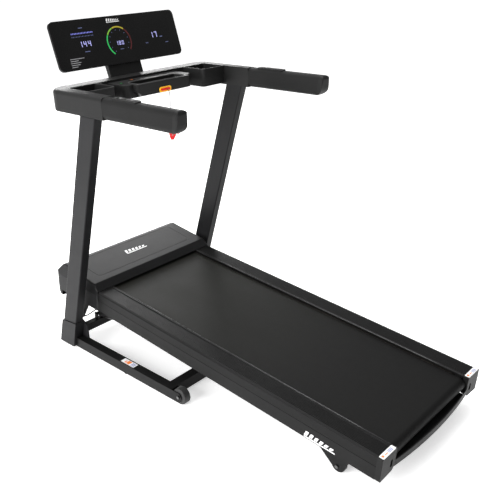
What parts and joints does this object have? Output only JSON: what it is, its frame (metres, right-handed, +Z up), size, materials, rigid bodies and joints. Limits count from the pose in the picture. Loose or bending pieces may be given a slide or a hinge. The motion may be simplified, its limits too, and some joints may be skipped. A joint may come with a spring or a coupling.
{
  "type": "folding treadmill",
  "caption": "Folding home treadmill with leaning uprights, long padded handles, a tray console, an upright display, a ribbed running deck and a low front base.",
  "frame": {"origin": "centre of the bounding box's underside, on the floor", "axes": "+X to the user's right, +Y forward towards the motor hood and console, +Z up"},
  "size_m": [0.767, 1.645, 1.2987],
  "materials": {
    "frame_paint": "satin",
    "sleeve_paint": "satin",
    "foot_rubber": "matt",
    "bolt_steel": "zinc plated",
    "core_steel": "bare tube",
    "console_plastic": "fine texture",
    "cup_plastic": "fine texture",
    "grip_foam": "soft foam",
    "cap_plastic": "fine texture",
    "socket_yellow": "smooth",
    "key_red": "smooth",
    "cord_fabric": "braided",
    "start_plastic": "smooth",
    "stop_plastic": "smooth",
    "key_plastic": "smooth",
    "neck_plastic": "fine texture",
    "display_plastic": "smooth",
    "display_gloss": "polished",
    "foot_rail_plastic": "ribbed",
    "deck_laminate": "waxed laminate",
    "belt_rubber": "fine diamond texture",
    "roller_steel": "turned",
    "motor_steel": "satin",
    "pulley_aluminium": "machined",
    "drive_rubber": "ribbed",
    "electronics_box": "plain",
    "hood_plastic": "fine texture",
    "inlet_plastic": "smooth",
    "rocker_plastic": "smooth",
    "wheel_plastic": "smooth",
    "harness_sleeve": "sleeved",
    "strut_paint": "gloss",
    "strut_chrome": "polished"
  },
  "bodies": {
    "base": {"base_rails": "frame_paint", "upright_sleeves": "sleeve_paint", "cross_tubes": "frame_paint", "foot_pads": "foot_rubber", "base_bolts": "bolt_steel", "upright_left": "frame_paint", "upright_right": "frame_paint", "handlebar_core": "core_steel", "console_frame": "console_plastic", "grip_left": "grip_foam", "grip_right": "grip_foam", "handle_end_caps": "cap_plastic", "cup_holders": "cup_plastic", "console_shell": "console_plastic", "console_tray": "console_plastic", "key_socket": "socket_yellow", "display_neck": "neck_plastic", "display_shell": "display_plastic", "display_glass": "display_gloss"},
    "deck": {"side_frame_left": "frame_paint", "side_frame_right": "frame_paint", "foot_rail_left": "foot_rail_plastic", "foot_rail_right": "foot_rail_plastic", "rear_end_caps": "cap_plastic", "rear_crossbar": "cap_plastic", "cross_members": "frame_paint", "deck_board": "deck_laminate", "deck_cushions": "foot_rubber", "running_belt": "belt_rubber", "roller_bearings": "roller_steel", "roller_shafts": "roller_steel", "drive_motor": "motor_steel", "drive_belt": "drive_rubber", "controller_box": "electronics_box", "hood_shell": "hood_plastic", "hood_panel": "hood_plastic", "belly_pan": "frame_paint", "mains_inlet": "inlet_plastic", "rear_wheel_brackets": "frame_paint", "deck_bolts": "bolt_steel", "harness_cable": "harness_sleeve"},
    "front_roller_body": {"front_roller": "roller_steel"},
    "rear_roller_body": {"rear_roller": "roller_steel"},
    "motor_rotor": {"motor_pulley": "pulley_aluminium"},
    "transport_wheel_left_body": {"transport_wheel_left": "wheel_plastic"},
    "transport_wheel_right_body": {"transport_wheel_right": "wheel_plastic"},
    "rear_wheel_left_body": {"rear_wheel_left": "wheel_plastic"},
    "rear_wheel_right_body": {"rear_wheel_right": "wheel_plastic"},
    "strut_cylinder": {"gas_cylinder": "strut_paint"},
    "strut_rod": {"gas_rod": "strut_chrome"},
    "safety_key_body": {"safety_key": "key_red", "lanyard_cord": "cord_fabric", "lanyard_clip": "key_red"},
    "start_button_body": {"start_button": "start_plastic"},
    "stop_button_body": {"stop_button": "stop_plastic"},
    "rocker_body": {"rocker_switch": "rocker_plastic"},
    "key_left_down_body": {"key_left_down": "key_plastic"},
    "key_left_up_body": {"key_left_up": "key_plastic"},
    "key_right_down_body": {"key_right_down": "key_plastic"},
    "key_right_up_body": {"key_right_up": "key_plastic"}
  },
  "joints": [
    {"name": "deck_fold", "type": "hinge", "parent": "base", "child": "deck", "pos_m": [0, 0.66986, 0.128], "axis": [-1, 0, 0], "range_deg": [0, 58]},
    {"name": "front_roller_spin", "type": "hinge", "parent": "deck", "child": "front_roller_body", "pos_m": [0, 0.60527, 0.24302], "axis": [1, 0, 0], "continuous": true},
    {"name": "rear_roller_spin", "type": "hinge", "parent": "deck", "child": "rear_roller_body", "pos_m": [0, -0.77905, 0.11753], "axis": [1, 0, 0], "continuous": true},
    {"name": "motor_spin", "type": "hinge", "parent": "deck", "child": "motor_rotor", "pos_m": [0, 0.72194, 0.26299], "axis": [1, 0, 0], "continuous": true},
    {"name": "strut_pivot", "type": "hinge", "parent": "base", "child": "strut_cylinder", "pos_m": [-0.258, 0.61786, 0.122], "axis": [-1, 0, 0], "range_deg": [0, 67.5]},
    {"name": "strut_stroke", "type": "slide", "parent": "strut_cylinder", "child": "strut_rod", "axis": [0, -0.992, 0.1265], "range_m": [0, 0.035]},
    {"name": "safety_key_pull", "type": "slide", "parent": "base", "child": "safety_key_body", "axis": [0, -1, 0], "range_m": [0, 0.02]},
    {"name": "rocker_tilt", "type": "hinge", "parent": "deck", "child": "rocker_body", "pos_m": [0, 0.81365, 0.23716], "axis": [-1, 0, 0], "range_deg": [0, 20]},
    {"name": "transport_wheel_left_spin", "type": "hinge", "parent": "base", "child": "transport_wheel_left_body", "pos_m": [0, 0.00586, 0.032], "axis": [1, 0, 0], "continuous": true},
    {"name": "transport_wheel_right_spin", "type": "hinge", "parent": "base", "child": "transport_wheel_right_body", "pos_m": [0, 0.00586, 0.032], "axis": [1, 0, 0], "continuous": true},
    {"name": "rear_wheel_left_spin", "type": "hinge", "parent": "deck", "child": "rear_wheel_left_body", "pos_m": [0, -0.64114, 0.025], "axis": [1, 0, 0], "continuous": true},
    {"name": "rear_wheel_right_spin", "type": "hinge", "parent": "deck", "child": "rear_wheel_right_body", "pos_m": [0, -0.64114, 0.025], "axis": [1, 0, 0], "continuous": true},
    {"name": "start_button_press", "type": "slide", "parent": "base", "child": "start_button_body", "axis": [0, 0, -1], "range_m": [0, 0.0012], "stiffness_N_per_m": 400, "springref_m": -0.001},
    {"name": "stop_button_press", "type": "slide", "parent": "base", "child": "stop_button_body", "axis": [0, 0, -1], "range_m": [0, 0.0012], "stiffness_N_per_m": 400, "springref_m": -0.001},
    {"name": "key_left_down_press", "type": "slide", "parent": "base", "child": "key_left_down_body", "axis": [0, 0, -1], "range_m": [0, 0.0012], "stiffness_N_per_m": 400, "springref_m": -0.001},
    {"name": "key_left_up_press", "type": "slide", "parent": "base", "child": "key_left_up_body", "axis": [0, 0, -1], "range_m": [0, 0.0012], "stiffness_N_per_m": 400, "springref_m": -0.001},
    {"name": "key_right_down_press", "type": "slide", "parent": "base", "child": "key_right_down_body", "axis": [0, 0, -1], "range_m": [0, 0.0012], "stiffness_N_per_m": 400, "springref_m": -0.001},
    {"name": "key_right_up_press", "type": "slide", "parent": "base", "child": "key_right_up_body", "axis": [0, 0, -1], "range_m": [0, 0.0012], "stiffness_N_per_m": 400, "springref_m": -0.001}
  ],
  "couplings": [
    {"joint": "rear_roller_spin", "follows": "front_roller_spin", "ratio": 1},
    {"joint": "motor_spin", "follows": "front_roller_spin", "ratio": 2.1989},
    {"joint": "strut_pivot", "follows": "deck_fold", "ratio": 1.1183},
    {"joint": "strut_stroke", "follows": "deck_fold", "m_per_rad": 0.032968}
  ]
}
